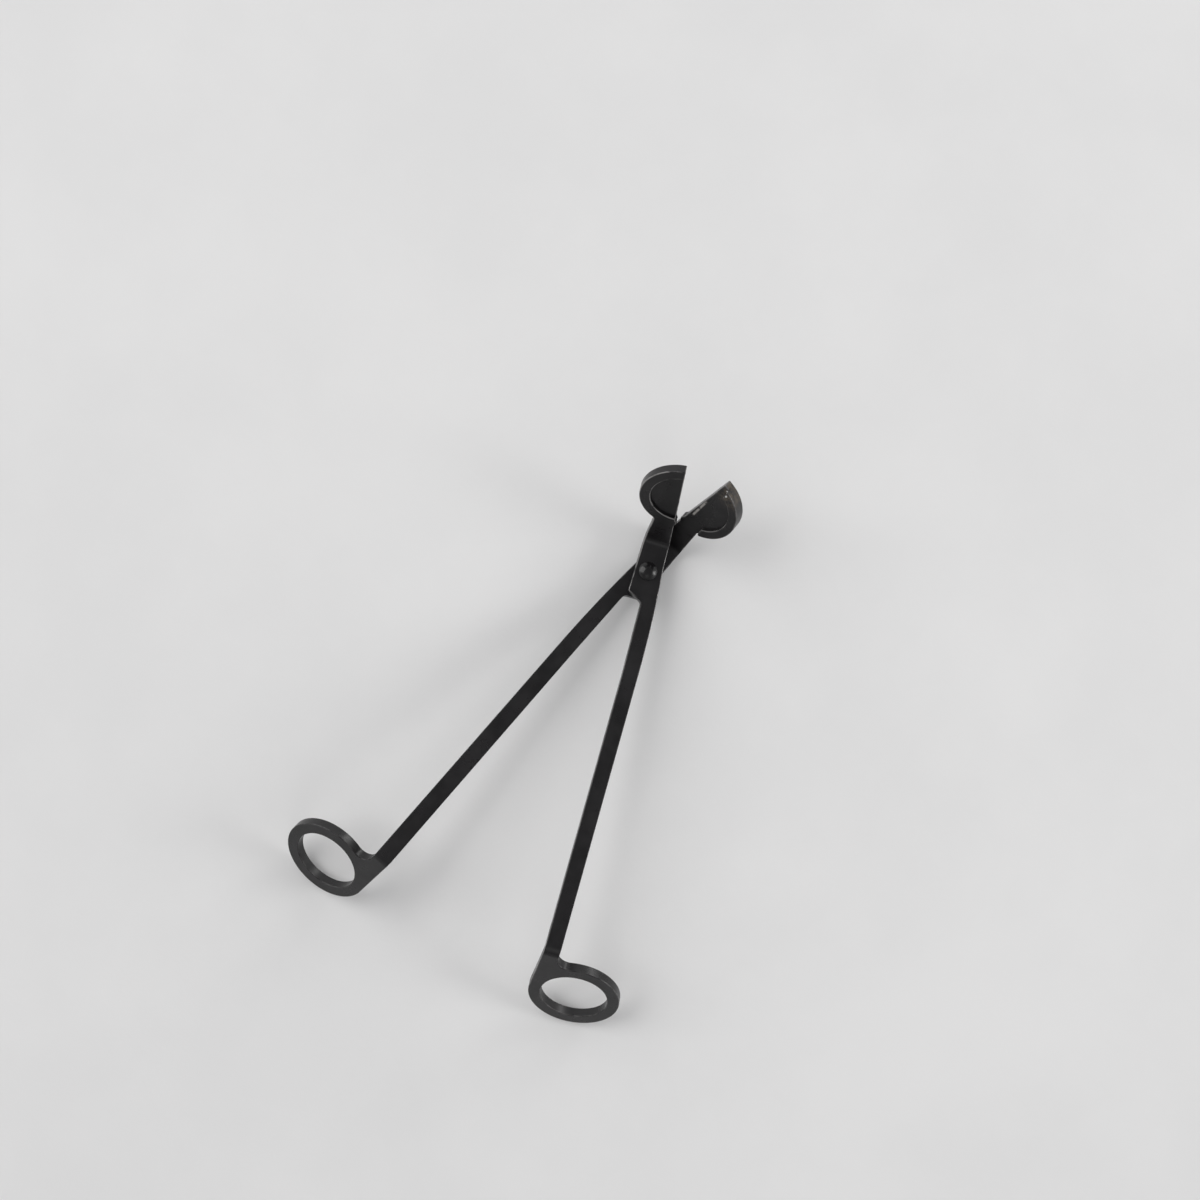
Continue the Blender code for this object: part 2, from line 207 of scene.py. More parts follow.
class Profile:
    """Side view of a lever's cut plane, with the ring's fold on one side and the head's on the other."""

    def __init__(self, plate_above):
        side = 1 if plate_above else -1
        shift = side * THICKNESS / 2 * math.tan(RING_BEND_ANGLE / 2)
        radius = RING_BEND_INSIDE if plate_above else RING_BEND_INSIDE + THICKNESS
        self.base = LEVER_GAP / 2 if plate_above else -THICKNESS - LEVER_GAP / 2
        self.top = self.base + THICKNESS
        self.head = Bend(HEAD_BEND_Y, HEAD_BEND_INSIDE + self.top, HEAD_BEND_ANGLE)
        self.ring = Bend(ARM_BEND_Y - shift, radius, RING_BEND_ANGLE)
        self.ring_centre = -(self.ring.after_corner + RING_CENTRE_RUN - shift)
        self.arm = UPPER_ARM if plate_above else LOWER_ARM
        self.arm_shift = UPPER_ARM_SHIFT if plate_above else LOWER_ARM_SHIFT

    def arm_edges(self, s):
        """Inner and outer edge of the arm at a flat coordinate between the pivot and the ring's fold."""
        share = -s / ARM_BEND_Y
        return [edge + shift * share for edge, shift in zip(self.arm, self.arm_shift)]

    def head_run(self, run):
        """Flat coordinate of a distance counted along the head from the fold."""
        return self.head.after_corner + run

    def fold(self, x, s, h):
        """Carries a point of the flat blank onto the folded lever."""
        if s >= 0:
            out, off, tilt = self.head.place(s)
            return Vector((x, out - h * math.sin(tilt), off + h * math.cos(tilt)))
        out, off, tilt = self.ring.place(-s)
        return Vector((x, -out - h * math.sin(tilt), -off + h * math.cos(tilt)))

    def turned(self, s, normal):
        """Carries a direction at a flat coordinate onto the folded lever."""
        tilt = self.head.place(s)[2] if s >= 0 else self.ring.place(-s)[2]
        return Matrix.Rotation(tilt, 3, "X") @ normal

    def cuts(self):
        """Lines across the strip where its faces are divided so that they can fold."""
        for bend, side in ((self.head, 1), (self.ring, -1)):
            for step in range(BEND_CUTS + 1):
                yield side * (bend.start + (bend.end - bend.start) * step / BEND_CUTS)


# ---------------------------------------------------------------- flat outlines

def arc(centre, radius, start, end):
    """Points on an arc from one angle to another, both ends included."""
    steps = max(3, math.ceil(abs(end - start) / ARC_STEP))
    turns = [start + (end - start) * step / steps for step in range(steps + 1)]
    return [(centre[0] + radius * math.cos(turn), centre[1] + radius * math.sin(turn)) for turn in turns]


def circle(centre, radius, sides=HOLE_SIDES):
    turns = [2 * math.pi * side / sides for side in range(sides)]
    return [(centre[0] + radius * math.cos(turn), centre[1] + radius * math.sin(turn)) for turn in turns]


def rounded(before, corner, after, radius):
    """Arc that rounds the corner between two straight edges."""
    point = Vector(corner)
    to_before = (Vector(before) - point).normalized()
    to_after = (Vector(after) - point).normalized()
    half = to_before.angle(to_after) / 2
    centre = point + (to_before + to_after).normalized() * (radius / math.sin(half))
    reach = radius / math.tan(half)
    first = point + to_before * reach - centre
    last = point + to_after * reach - centre
    start = math.atan2(first.y, first.x)
    turn = math.remainder(math.atan2(last.y, last.x) - start, 2 * math.pi)
    return arc(centre, radius, start, start + turn)


def blade_edge_x(run):
    """How far across the strip the straight cutting edge is, at a distance along the head."""
    return BLADE_EDGE_X - BLADE_EDGE_LEAN * run


def tip_angle():
    """Angle on the disc where the straight edge leaves it at the tip."""
    lean = math.atan(BLADE_EDGE_LEAN)
    offset = (blade_edge_x(DISC_CENTRE_RUN) - DISC_CENTRE_X) * math.cos(lean)
    return math.pi / 2 + lean + math.asin(-offset / DISC_RADIUS)


def ring_outline(profile):
    """Ring and its fillet, from the arm's inner edge round to the arm's outer edge."""
    centre = (RING_CENTRE_X, profile.ring_centre)
    arm_outer = profile.arm_edges(-ARM_BEND_Y)[1]
    fillet_x = arm_outer + RING_FILLET
    reach = RING_OUTER_RADIUS + RING_FILLET
    fillet = (fillet_x, centre[1] + math.sqrt(reach ** 2 - (fillet_x - RING_CENTRE_X) ** 2))
    meet = math.atan2(fillet[1] - centre[1], fillet[0] - centre[0])
    ring = arc(centre, RING_OUTER_RADIUS, math.pi, meet + 2 * math.pi)
    return ring + arc(fillet, RING_FILLET, meet + math.pi, math.pi)[1:]


def taper_outline(profile):
    """Long shallow arc that draws the arm's outer edge in to the pivot plate."""
    end_x, end_y = TAPER_END
    arm_outer = profile.arm_edges(TAPER_START_Y)[1]
    drop = arm_outer - end_x
    length = end_y - TAPER_START_Y
    radius = (length ** 2 + drop ** 2) / (2 * drop)
    sweep = math.asin(length / radius)
    turns = [sweep * step / TAPER_STEPS for step in range(TAPER_STEPS + 1)]
    centre_x = arm_outer - radius
    return [(centre_x + radius * math.cos(turn), TAPER_START_Y + radius * math.sin(turn)) for turn in turns]


def blade_outline(profile):
    """Straight cutting edge with its softly rounded nib, up to the tip."""
    start = NIB_RUN - NIB_LENGTH / 2
    points = [(blade_edge_x(EDGE_LEAN_RUN), profile.head_run(EDGE_LEAN_RUN))]
    for step in range(NIB_STEPS):
        share = step / NIB_STEPS
        run = start + NIB_LENGTH * share
        reach = NIB_REACH * math.sin(math.pi * share) ** 2
        points.append((blade_edge_x(run) + reach, profile.head_run(run)))
    return points


def disc_outline(profile):
    """Round back of the head, from the tip to its fillet into the neck."""
    centre = (DISC_CENTRE_X, profile.head_run(DISC_CENTRE_RUN))
    fillet_x = NECK_OUTER_X - NECK_FILLET
    reach = DISC_RADIUS + NECK_FILLET
    fillet = (fillet_x, centre[1] - math.sqrt(reach ** 2 - (fillet_x - DISC_CENTRE_X) ** 2))
    meet = math.atan2(fillet[1] - centre[1], fillet[0] - centre[0])
    disc = arc(centre, DISC_RADIUS, tip_angle(), meet + 2 * math.pi)
    return disc + arc(fillet, NECK_FILLET, meet + math.pi, 0.0)[1:]


def shoulder_outline(profile):
    """Neck side and rounded shoulder of the pivot plate, down to the arm's inner edge."""
    neck = (NECK_OUTER_X, HEAD_BEND_Y)
    arm = (profile.arm_edges(TAPER_START_Y)[0], TAPER_START_Y)
    arm_end = (profile.arm_edges(-ARM_BEND_Y)[0], -ARM_BEND_Y)
    corner = rounded(neck, SHOULDER_CORNER, SHOULDER_FOOT, SHOULDER_CORNER_RADIUS)
    return corner + rounded(SHOULDER_CORNER, SHOULDER_FOOT, arm, SHOULDER_FILLET) + [arm, arm_end]


def lever_outline(profile):
    return (
        ring_outline(profile)
        + taper_outline(profile)
        + blade_outline(profile)
        + disc_outline(profile)
        + shoulder_outline(profile)
    )


def rim_outline(profile):
    """Area of the lower head that keeps its raised rim. It overshoots the disc's own wall."""
    centre = (DISC_CENTRE_X, profile.head_run(DISC_CENTRE_RUN))
    beyond = DISC_RADIUS + THICKNESS
    turn_x = RIM_NECK_END_X - RIM_END_RADIUS
    reach = DISC_RADIUS + RIM_END_OVERSHOOT - RIM_END_RADIUS
    turn_drop = math.sqrt(reach ** 2 - (turn_x - DISC_CENTRE_X) ** 2)
    free_end = math.atan2(-turn_drop, turn_x - DISC_CENTRE_X)
    outer_tip = math.acos((RIM_TIP_END_X - DISC_CENTRE_X) / beyond)
    inner_tip = math.acos((RIM_TIP_END_X - DISC_CENTRE_X) / RIM_INNER_RADIUS)
    inner_neck = 2 * math.pi - math.acos((RIM_NECK_END_X - DISC_CENTRE_X) / RIM_INNER_RADIUS)
    outer = arc(centre, beyond, outer_tip, 2 * math.pi + free_end)
    rounding = arc((turn_x, centre[1] - turn_drop), RIM_END_RADIUS, free_end, 0)
    return outer + rounding + arc(centre, RIM_INNER_RADIUS, inner_neck, inner_tip)


# ---------------------------------------------------------------- solids

def add_object(name, mesh):
    thing = bpy.data.objects.new(name, mesh)
    bpy.context.scene.collection.objects.link(thing)
    return thing


def add_shape(name, shape):
    """Puts a bmesh into a new object in the scene."""
    mesh = bpy.data.meshes.new(name)
    shape.to_mesh(mesh)
    shape.free()
    return add_object(name, mesh)


def prism(name, outline, low, high):
    """Closed prism over a flat outline, between two heights."""
    shape = bmesh.new()
    corners = [shape.verts.new((x, s, low)) for x, s in outline]
    floor = shape.faces.new(corners)
    raised = bmesh.ops.extrude_face_region(shape, geom=[floor])["geom"]
    lifted = [part for part in raised if isinstance(part, bmesh.types.BMVert)]
    bmesh.ops.translate(shape, vec=(0, 0, high - low), verts=lifted)
    bmesh.ops.recalc_face_normals(shape, faces=shape.faces[:])
    return add_shape(name, shape)


def cut(blank, cutters):
    """Cuts each cutter out of the blank, and gives the mesh that is left."""
    for cutter in cutters:
        modifier = blank.modifiers.new(cutter.name, "BOOLEAN")
        modifier.operation = "DIFFERENCE"
        modifier.solver = "EXACT"
        modifier.object = cutter
    bpy.context.view_layer.update()
    evaluated = blank.evaluated_get(bpy.context.evaluated_depsgraph_get())
    result = bpy.data.meshes.new_from_object(evaluated)
    for thing in [blank] + cutters:
        bpy.data.objects.remove(thing, do_unlink=True)
    return result


def is_corner(vertex):
    """True where two walls of a flat-drawn blank meet at an angle."""
    return any(
        abs(edge.verts[0].co.z - edge.verts[1].co.z) > CORNER_ROOM
        and len(edge.link_faces) == 2
        and edge.calc_face_angle(0.0) > SHARP_ANGLE
        for edge in vertex.link_edges
    )


def clear_corners(shape):
    """Merges the short facets beside each corner into it, so that the rounding has room there."""
    corners = [vertex for vertex in shape.verts if is_corner(vertex)]
    kept = set(corners)
    for corner in corners:
        while True:
            near = [edge.other_vert(corner) for edge in corner.link_edges
                    if edge.calc_length() < CORNER_ROOM and edge.other_vert(corner) not in kept]
            if not near:
                break
            place = near[0].co.copy()
            for vertex in shape.verts:
                if vertex not in kept and (vertex.co.xy - place.xy).length < WELD:
                    vertex.co.xy = corner.co.xy
            bmesh.ops.pointmerge(shape, verts=[corner, near[0]], merge_co=corner.co)


def soften_edges(shape):
    """Rounds the sharp edges of a flat-drawn blank. The rounded strips take the second material."""
    bmesh.ops.remove_doubles(shape, verts=shape.verts[:], dist=WELD)
    bmesh.ops.dissolve_limit(shape, angle_limit=math.radians(0.05), verts=shape.verts[:],
                             edges=shape.edges[:])
    clear_corners(shape)
    sharp = [edge for edge in shape.edges
             if len(edge.link_faces) == 2 and edge.is_convex and edge.calc_face_angle(0.0) > SHARP_ANGLE]
    bmesh.ops.bevel(shape, geom=sharp, offset=EDGE_ROUNDING, offset_type="OFFSET",
                    segments=EDGE_SEGMENTS, profile=0.5, affect="EDGES", clamp_overlap=False,
                    material=1, loop_slide=True)


def keep_flat_coordinates(shape):
    """Stores each corner's place on the unfolded strip as texture coordinates."""
    layer = shape.loops.layers.uv.new("strip")
    for face in shape.faces:
        for loop in face.loops:
            loop[layer].uv = (loop.vert.co.x * UV_SCALE, loop.vert.co.y * UV_SCALE)


def flat_directions(shape):
    """Shading direction of every corner of a flat blank.

    Flats and walls keep their own, and the rounded strips run smoothly from one to the other.
    """
    directions = []
    for face in shape.faces:
        for corner in face.verts:
            whole = [other for other in corner.link_faces if other.material_index == 0]
            total = Vector()
            for other in whole or corner.link_faces:
                if other.normal.dot(face.normal) > CREASE_COSINE:
                    total += other.normal * other.calc_area()
            directions.append(total.normalized() if total.length > 0 else face.normal.copy())
    return directions


def softened(name, flat):
    """The flat blank as an object again, with its sharp edges rounded."""
    shape = bmesh.new()
    shape.from_mesh(flat)
    soften_edges(shape)
    return add_shape(name, shape)


def folded(name, flat, profile, mirror, placing, drop=None):
    """Folds a flat mesh, mirrors it for the lower lever, and puts it in its place."""
    shape = bmesh.new()
    shape.from_mesh(flat)
    if drop is not None:
        bpy.data.objects.remove(drop, do_unlink=True)
    for s in profile.cuts():
        geometry = shape.verts[:] + shape.edges[:] + shape.faces[:]
        bmesh.ops.bisect_plane(shape, geom=geometry, plane_co=(0, s, 0), plane_no=(0, 1, 0))
    bmesh.ops.triangulate(shape, faces=shape.faces[:])
    keep_flat_coordinates(shape)
    if mirror:
        bmesh.ops.transform(shape, matrix=Matrix.Scale(-1, 4, (1, 0, 0)), verts=shape.verts[:])
        bmesh.ops.reverse_faces(shape, faces=shape.faces[:])
    shape.normal_update()
    directions = flat_directions(shape)
    runs = [corner.co.y for face in shape.faces for corner in face.verts]
    turn = placing.to_3x3()
    directions = [turn @ profile.turned(s, direction) for s, direction in zip(runs, directions)]
    for corner in shape.verts:
        corner.co = placing @ profile.fold(*corner.co)
    lever = add_shape(name, shape)
    lever.data.shade_smooth()
    lever.data.normals_split_custom_set(directions)
    return lever


def through_hole(name, centre, radius, profile):
    """Round cutter that passes right through the plate."""
    return prism(name, circle(centre, radius), profile.base - THICKNESS, profile.top + THICKNESS)


def neck_clearance(profile):
    """Wedge off the underside of the upper neck, so that it clears the lower fold."""
    corners = (
        (CLEARANCE_START_X, -THICKNESS),
        (CLEARANCE_START_X, 0),
        (CLEARANCE_END_X, CLEARANCE_DEPTH),
        (CLEARANCE_END_X, -THICKNESS),
    )
    shape = bmesh.new()
    for s in (profile.head.start, profile.head_run(CLEARANCE_RUN)):
        for x, rise in corners:
            shape.verts.new((x, s, profile.base + rise))
    bmesh.ops.convex_hull(shape, input=shape.verts[:])
    return add_shape("neck_clearance", shape)


def upper_lever(placing):
    """Upper lever: its head is a half disc with a shallow round tray cut into it."""
    profile = Profile(plate_above=True)
    disc_centre = (DISC_CENTRE_X, profile.head_run(DISC_CENTRE_RUN))
    blank = prism("upper_blank", lever_outline(profile), profile.base, profile.top)
    tray = prism("tray_cutter", circle(disc_centre, RECESS_RADIUS, 2 * HOLE_SIDES),
                 profile.top - RECESS_DEPTH, profile.top + THICKNESS)
    cutters = [
        through_hole("upper_ring_cutter", (RING_CENTRE_X, profile.ring_centre), RING_HOLE_RADIUS, profile),
        through_hole("upper_rivet_cutter", (0, 0), RIVET_HOLE_RADIUS, profile),
        tray,
    ]
    smooth = softened("upper_smooth", cut(blank, cutters))
    ground = cut(smooth, [neck_clearance(profile)])
    return folded("upper_lever_finished", ground, profile, False, placing)


def planing_cutter(profile):
    """Takes the extra height off the whole lower blank except along its rim."""
    margin = THICKNESS
    left = DISC_CENTRE_X - DISC_RADIUS - margin
    right = RING_CENTRE_X + RING_OUTER_RADIUS + margin
    near = profile.ring_centre - RING_OUTER_RADIUS - margin
    far = profile.head_run(DISC_CENTRE_RUN) + DISC_RADIUS + 2 * margin
    block = prism("block", [(left, near), (right, near), (right, far), (left, far)],
                  profile.top, profile.top + 2 * margin)
    rim = prism("rim_area", rim_outline(profile), profile.top - margin, profile.top + 3 * margin)
    return add_object("planing_cutter", cut(block, [rim]))


def lower_lever(placing):
    """Lower lever: its head is a flat half-disc blade with a raised rim round its back."""
    profile = Profile(plate_above=False)
    blank = prism("lower_blank", lever_outline(profile), profile.base, profile.top + RIM_HEIGHT)
    cutters = [
        planing_cutter(profile),
        through_hole("lower_ring_cutter", (RING_CENTRE_X, profile.ring_centre), RING_HOLE_RADIUS, profile),
        through_hole("lower_rivet_cutter", (0, 0), RIVET_HOLE_RADIUS, profile),
    ]
    smooth = softened("lower_smooth", cut(blank, cutters))
    return folded("lower_lever_finished", smooth.data, profile, True, placing, drop=smooth)


def rivet_profile():
    """Half section of the rivet: dome with a small straight lip, shank, and peened tail."""
    seat = THICKNESS + LEVER_GAP / 2 + SEAT_GAP
    rise = DOME_HEIGHT - DOME_LIP
    sphere = (DOME_RADIUS ** 2 + rise ** 2) / (2 * rise)
    edge = math.asin(DOME_RADIUS / sphere)
    section = []
    for step in range(DOME_STEPS + 1):
        lean = edge * step / DOME_STEPS
        section.append((sphere * math.sin(lean), seat + DOME_HEIGHT - sphere * (1 - math.cos(lean))))
    section += [
        (DOME_RADIUS, seat + RIVET_ROUNDING),
        (DOME_RADIUS - RIVET_ROUNDING, seat),
        (SHANK_RADIUS, seat),
        (SHANK_RADIUS, -seat),
        (TAIL_RADIUS - RIVET_ROUNDING, -seat),
        (TAIL_RADIUS, -seat - RIVET_ROUNDING),
        (TAIL_RADIUS * 0.97, -seat - TAIL_HEIGHT * 0.4),
        (TAIL_RADIUS * 0.90, -seat - TAIL_HEIGHT * 0.7),
        (TAIL_RADIUS * 0.78, -seat - TAIL_HEIGHT * 0.92),
        (TAIL_RADIUS * 0.60, -seat - TAIL_HEIGHT),
        (0.0, -seat - TAIL_HEIGHT),
    ]
    return section


def pivot_rivet(placing):
    """Turned and peened rivet on the hinge's axis."""
    shape = bmesh.new()
    corners = [shape.verts.new((radius, 0, height)) for radius, height in rivet_profile()]
    edges = [shape.edges.new(pair) for pair in zip(corners, corners[1:])]
    bmesh.ops.spin(shape, geom=corners + edges, cent=(0, 0, 0), axis=(0, 0, 1),
                   angle=2 * math.pi, steps=RIVET_SIDES)
    bmesh.ops.remove_doubles(shape, verts=shape.verts[:], dist=0.005 * MM)
    bmesh.ops.recalc_face_normals(shape, faces=shape.faces[:])
    bmesh.ops.transform(shape, matrix=placing, verts=shape.verts[:])
    rivet = add_shape("pivot_rivet_finished", shape)
    rivet.data.shade_smooth()
    rivet.data.set_sharp_from_angle(angle=math.radians(40))
    return rivet


# ---------------------------------------------------------------- materials

class Nodes:
    """Small helper that adds and joins the nodes of one material."""

    def __init__(self, name):
        self.material = bpy.data.materials.new(name)
        self.material.use_nodes = True
        self.tree = self.material.node_tree
        self.shader = self.tree.nodes["Principled BSDF"]

    def add(self, kind, inputs=None, **settings):
        node = self.tree.nodes.new("ShaderNode" + kind)
        for key, value in settings.items():
            setattr(node, key, value)
        for key, value in (inputs or {}).items():
            self.feed(node.inputs[key], value)
        return node

    def feed(self, socket, value):
        """Joins an output to a socket, or sets the socket's own value."""
        if isinstance(value, bpy.types.NodeSocket):
            self.tree.links.new(value, socket)
        else:
            socket.default_value = value

    def position(self):
        return self.add("TexCoord").outputs["Object"]

    def noise(self, scale, detail=3.0, roughness=0.5, vector=None):
        node = self.add("TexNoise", {
            "Vector": vector or self.position(),
            "Scale": scale,
            "Detail": detail,
            "Roughness": roughness,
        })
        return node.outputs["Fac"]

    def spread(self, value, low, high, to_low=0.0, to_high=1.0):
        """Maps a value from one range to another, with soft ends."""
        node = self.add("MapRange", {
            "Value": value,
            "From Min": low,
            "From Max": high,
            "To Min": to_low,
            "To Max": to_high,
        }, interpolation_type="SMOOTHSTEP")
        return node.outputs["Result"]

    def maths(self, operation, first, second):
        node = self.add("Math", operation=operation)
        self.feed(node.inputs[0], first)
        self.feed(node.inputs[1], second)
        return node.outputs[0]

    def mix(self, share, first, second):
        """Colour mix: the first colour at 0, the second at 1."""
        node = self.add("Mix", data_type="RGBA")
        self.feed(node.inputs["Factor"], share)
        colours = [socket for socket in node.inputs if socket.type == "RGBA"]
        self.feed(colours[0], first)
        self.feed(colours[1], second)
        return next(socket for socket in node.outputs if socket.type == "RGBA")

    def bump(self, height, distance, strength, under=None):
        node = self.add("Bump", {"Height": height, "Distance": distance, "Strength": strength})
        if under is not None:
            self.feed(node.inputs["Normal"], under)
        return node.outputs["Normal"]


def streak_mask(nodes):
    """1 along the rubbed streak beside the lower blade's edge, fading to 0 around it."""
    start = strip_point(*STREAK_START)
    end = strip_point(*STREAK_END)
    along = (end - start).normalized()
    across = Vector((along.y, -along.x, 0))
    strip = nodes.add("UVMap", uv_map="strip").outputs["UV"]
    local = nodes.add("VectorMath", {0: strip, 1: start}, operation="SUBTRACT").outputs["Vector"]
    side = nodes.add("VectorMath", {0: local, 1: across}, operation="DOT_PRODUCT").outputs["Value"]
    run = nodes.add("VectorMath", {0: local, 1: along}, operation="DOT_PRODUCT").outputs["Value"]
    half = STREAK_HALF_WIDTH * UV_SCALE
    length = (end - start).length
    width = nodes.spread(nodes.maths("ABSOLUTE", side, 0.0), half * 0.4, half * 1.3, 1.0, 0.0)
    begins = nodes.spread(run, -half, half)
    ends = nodes.spread(run, length - half, length + half, 1.0, 0.0)
    broken = nodes.spread(nodes.noise(900.0, 3.0), 0.30, 0.54)
    return nodes.maths("MULTIPLY", nodes.maths("MULTIPLY", width, broken),
                       nodes.maths("MULTIPLY", begins, ends))


def strip_point(x, run):
    """Texture coordinates of a place on the lower head."""
    return Vector((x, Profile(plate_above=False).head_run(run), 0)) * UV_SCALE


def spot_mask(nodes, x, run, radius, softness):
    """1 inside a round spot on the lower head, fading to 0 over its soft border."""
    strip = nodes.add("UVMap", uv_map="strip").outputs["UV"]
    gap = nodes.add("VectorMath", {0: strip, 1: strip_point(x, run)}, operation="DISTANCE").outputs["Value"]
    reach = radius * UV_SCALE
    return nodes.spread(gap, reach * (1 - softness), reach * (1 + softness), 1.0, 0.0)


def lower_head_marks(nodes, colour, roughness):
    """Rubbed streak, brown patch and bare specks of the lower head, laid over the coating."""
    patch = spot_mask(nodes, BROWN_PATCH[0], BROWN_PATCH[1], BROWN_PATCH_RADIUS, 0.45)
    patch = nodes.maths("MULTIPLY", patch, nodes.spread(nodes.noise(600.0, 4.0, 0.65), 0.34, 0.62))
    colour = nodes.mix(patch, colour, RUBBED_BROWN)
    streak = streak_mask(nodes)
    colour = nodes.mix(streak, colour, RUBBED_GREY)
    roughness = nodes.maths("SUBTRACT", roughness, nodes.maths("MULTIPLY", streak, 0.08))
    for x, run, radius in CHIPS:
        colour = nodes.mix(spot_mask(nodes, x, run, radius, 0.5), colour, BARE_STEEL)
    return colour, roughness


def rubbed_and_highlit_places(nodes):
    """1 along the pivot plate and the head, less round the ring, and 0 along the arm: where the edges are
    worn and lightened as a painted highlight.
    """
    strip = nodes.add("UVMap", uv_map="strip").outputs["UV"]
    run = nodes.add("SeparateXYZ", {"Vector": strip}).outputs["Y"]
    head = nodes.spread(run, HEAD_WEAR_AND_HIGHLIGHT[0] * UV_SCALE, HEAD_WEAR_AND_HIGHLIGHT[1] * UV_SCALE)
    ring = nodes.spread(run, RING_WEAR_AND_HIGHLIGHT[0] * UV_SCALE, RING_WEAR_AND_HIGHLIGHT[1] * UV_SCALE, RING_WEAR_AND_HIGHLIGHT_SHARE, 0.0)
    return nodes.maths("MAXIMUM", head, ring)


def coating(name, wear_and_highlight=0.0, marked=False, gloss=0.0):
    """Satin black coating: fine texture, slow changes of tone, handling marks, and, if asked, edge wear
    lightened into a painted highlight.
    """
    nodes = Nodes(name)
    tone = nodes.spread(nodes.noise(70.0, 4.0, 0.6), 0.32, 0.68)
    colour = nodes.mix(tone, BLACK_DEEP, BLACK_PALE)
    smear = nodes.noise(190.0, 5.0, 0.65)
    roughness = nodes.spread(smear, 0.30, 0.72, 0.25 - gloss, 0.40 - gloss)
    # Edge wear, lightened further as a painted highlight on the rounded edges
    if wear_and_highlight:
        rubbed_and_highlit = nodes.spread(nodes.noise(260.0, 3.0, 0.6), 0.30, 0.58)
        rubbed_and_highlit = nodes.maths("MULTIPLY", nodes.maths("MULTIPLY", rubbed_and_highlit, rubbed_and_highlit_places(nodes)), wear_and_highlight)
        colour = nodes.mix(rubbed_and_highlit, colour, WORN_AND_HIGHLIGHT_GREY)
    if marked:
        colour, roughness = lower_head_marks(nodes, colour, roughness)
    orange_peel = nodes.bump(nodes.noise(900.0, 2.0), 0.02 * MM, 0.18)
    grain = nodes.bump(nodes.noise(5200.0, 2.0), 0.006 * MM, 0.35, under=orange_peel)
    nodes.feed(nodes.shader.inputs["Base Color"], colour)
    nodes.feed(nodes.shader.inputs["Roughness"], roughness)
    nodes.feed(nodes.shader.inputs["Normal"], grain)
    nodes.shader.inputs["Specular IOR Level"].default_value = COATING_SHEEN
    return nodes.material


def table_surface():
    """Pale painted board: faint mottling, fine tooth, and a few tiny dark flecks."""
    nodes = Nodes("pale_table")
    mottle = nodes.spread(nodes.noise(9.0, 5.0, 0.6), 0.3, 0.7)
    colour = nodes.mix(mottle, TABLE_DARK, TABLE_PALE)
    cell = nodes.add("TexVoronoi", {"Vector": nodes.position(), "Scale": FLECK_SCALE}).outputs["Distance"]
    fleck = nodes.spread(cell, FLECK_SHARE * 0.6, FLECK_SHARE, 1.0, 0.0)
    colour = nodes.mix(fleck, colour, TABLE_FLECK)
    nodes.feed(nodes.shader.inputs["Base Color"], colour)
    nodes.feed(nodes.shader.inputs["Normal"], nodes.bump(nodes.noise(700.0, 4.0, 0.6), 0.08 * MM, 0.30))
    nodes.shader.inputs["Roughness"].default_value = 0.72
    nodes.shader.inputs["Specular IOR Level"].default_value = 0.3
    return nodes.material


# ---------------------------------------------------------------- scene

def hinge_placing(joint):
    """Frame of the pivot: +Z along the rivet, out of the dome, and +Y to the heads."""
    turn = Vector((0, 0, 1)).rotation_difference(Vector(joint["axis"]))
    return Matrix.Translation(Vector(joint["pos_m"])) @ turn.to_matrix().to_4x4()


def build_trimmer(joint):
    """Makes the three finished pieces and hands each one its body, node and material slot."""
    hinge = hinge_placing(joint)
    half = OPENING / 2
    upper = upper_lever(hinge @ Matrix.Rotation(half, 4, "Z"))
    lower = lower_lever(hinge @ Matrix.Rotation(-half, 4, "Z"))
    rivet = pivot_rivet(hinge)
    # The edges' wear amounts also set their painted highlight, lighter on the upper lever
    for lever, name, marked, wear_and_highlight in (
        (upper, "black_coating_upper", False, 0.62),
        (lower, "black_coating_lower", True, 0.30),
    ):
        lever.data.materials.append(coating(name, marked=marked))
        lever.data.materials.append(coating(name + "_edges", wear_and_highlight=wear_and_highlight, gloss=0.08))
    rivet.data.materials.append(coating("black_rivet", gloss=0.08))
    for piece, body, node, slot in (
        (upper, "upper", "upper_lever", "black_coating"),
        (lower, "lower", "lower_lever", "black_coating"),
        (rivet, "lower", "pivot_rivet", "black_rivet"),
    ):
        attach(piece, body)
        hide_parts(node)


def add_table():
    half = FLOOR_SIZE / 2
    mesh = bpy.data.meshes.new("table")
    corners = [(-half, -half, 0), (half, -half, 0), (half, half, 0), (-half, half, 0)]
    mesh.from_pydata(corners, [], [(0, 1, 2, 3)])
    mesh.materials.append(table_surface())
    add_object("table", mesh)


def add_light(target, name, bearing, elevation, distance, size, power):
    """Large soft light on one side of the view."""
    light = bpy.data.lights.new(name, "AREA")
    light.size = size
    light.energy = power
    light.color = LIGHT_COLOUR
    lamp = bpy.data.objects.new(name, light)
    bpy.context.scene.collection.objects.link(lamp)
    side = CAMERA_TURN + math.radians(bearing)
    rise = math.radians(elevation)
    out = Vector((-math.sin(side) * math.cos(rise), math.cos(side) * math.cos(rise), math.sin(rise)))
    lamp.location = target + out * distance
    lamp.rotation_euler = (-out).to_track_quat("-Z", "Y").to_euler()


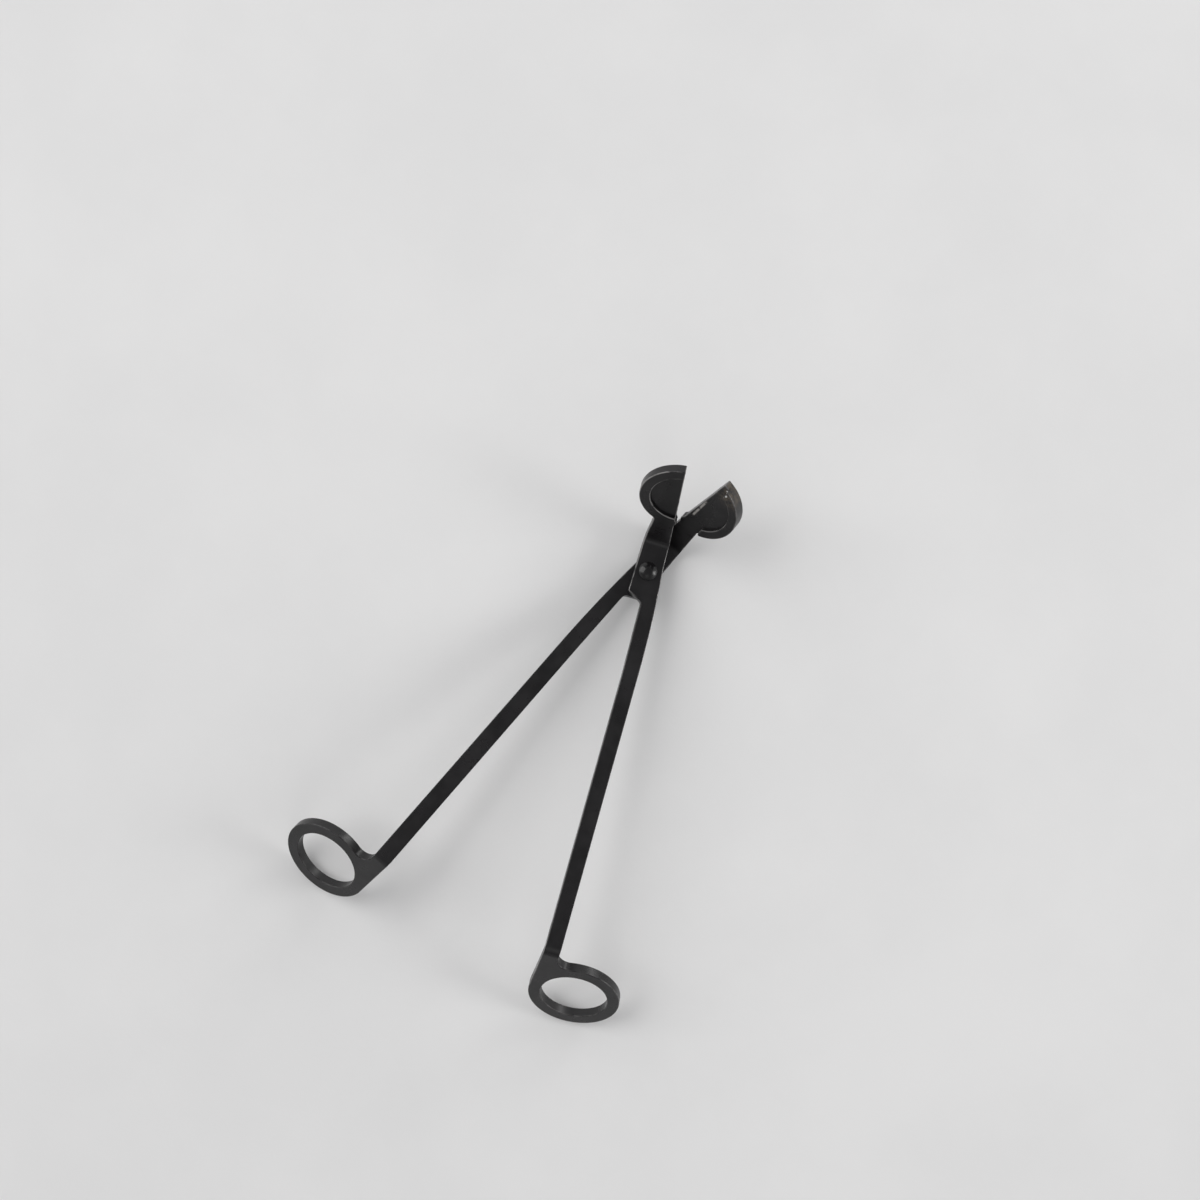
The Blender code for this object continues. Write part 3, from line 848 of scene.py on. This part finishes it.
def add_room():
    """Surroundings: pale walls round the table, darker on the viewer's side, and a dim ceiling."""
    world = bpy.data.worlds.new("soft_room")
    world.use_nodes = True
    tree = world.node_tree
    place = tree.nodes.new("ShaderNodeTexCoord")
    height = tree.nodes.new("ShaderNodeSeparateXYZ")
    ramp = tree.nodes.new("ShaderNodeValToRGB")
    ramp.color_ramp.interpolation = "EASE"
    ramp.color_ramp.elements[0].position = HORIZON_ENDS
    ramp.color_ramp.elements[0].color = ROOM_HORIZON
    ramp.color_ramp.elements[1].position = CEILING_STARTS
    ramp.color_ramp.elements[1].color = ROOM_OVERHEAD
    tree.links.new(place.outputs["Generated"], height.inputs["Vector"])
    tree.links.new(height.outputs["Z"], ramp.inputs["Fac"])
    near = tree.nodes.new("ShaderNodeVectorMath")
    near.operation = "DOT_PRODUCT"
    near.inputs[1].default_value = (math.sin(CAMERA_TURN), -math.cos(CAMERA_TURN), 0.0)
    shade = tree.nodes.new("ShaderNodeMapRange")
    shade.interpolation_type = "SMOOTHSTEP"
    shade.inputs["From Min"].default_value = NEAR_SIDE_STARTS
    shade.inputs["From Max"].default_value = 1.0
    shade.inputs["To Min"].default_value = 1.0
    shade.inputs["To Max"].default_value = NEAR_SIDE_SHADE
    tree.links.new(place.outputs["Generated"], near.inputs[0])
    tree.links.new(near.outputs["Value"], shade.inputs["Value"])
    tree.links.new(shade.outputs["Result"], tree.nodes["Background"].inputs["Strength"])
    tree.links.new(ramp.outputs["Color"], tree.nodes["Background"].inputs["Color"])
    bpy.context.scene.world = world


def add_camera(joint):
    """Camera straight above, turned so that the arms lean across the frame."""
    data = bpy.data.cameras.new("camera")
    data.lens = CAMERA_LENS
    data.sensor_width = CAMERA_SENSOR
    data.clip_end = 10.0
    camera = bpy.data.objects.new("camera", data)
    bpy.context.scene.collection.objects.link(camera)
    pivot = Vector(joint["pos_m"][:2])
    place = pivot - Matrix.Rotation(CAMERA_TURN, 2) @ CAMERA_PIVOT_OFFSET
    camera.location = (place.x, place.y, CAMERA_HEIGHT)
    camera.rotation_euler = (0, 0, CAMERA_TURN)
    bpy.context.scene.camera = camera


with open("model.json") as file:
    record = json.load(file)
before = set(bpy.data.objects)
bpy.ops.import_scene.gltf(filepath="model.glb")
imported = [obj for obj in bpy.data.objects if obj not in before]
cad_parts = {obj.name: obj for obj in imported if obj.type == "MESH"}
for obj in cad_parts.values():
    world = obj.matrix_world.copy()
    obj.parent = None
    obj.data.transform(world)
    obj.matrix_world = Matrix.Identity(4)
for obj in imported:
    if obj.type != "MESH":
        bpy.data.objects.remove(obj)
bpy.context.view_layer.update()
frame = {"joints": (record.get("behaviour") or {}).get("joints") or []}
pivot_joint = frame["joints"][0]
bpy.context.scene.view_settings.view_transform = "Standard"
build_trimmer(pivot_joint)
add_table()
add_room()
for light in LIGHTS:
    add_light(Vector(pivot_joint["pos_m"]), *light)
add_camera(pivot_joint)
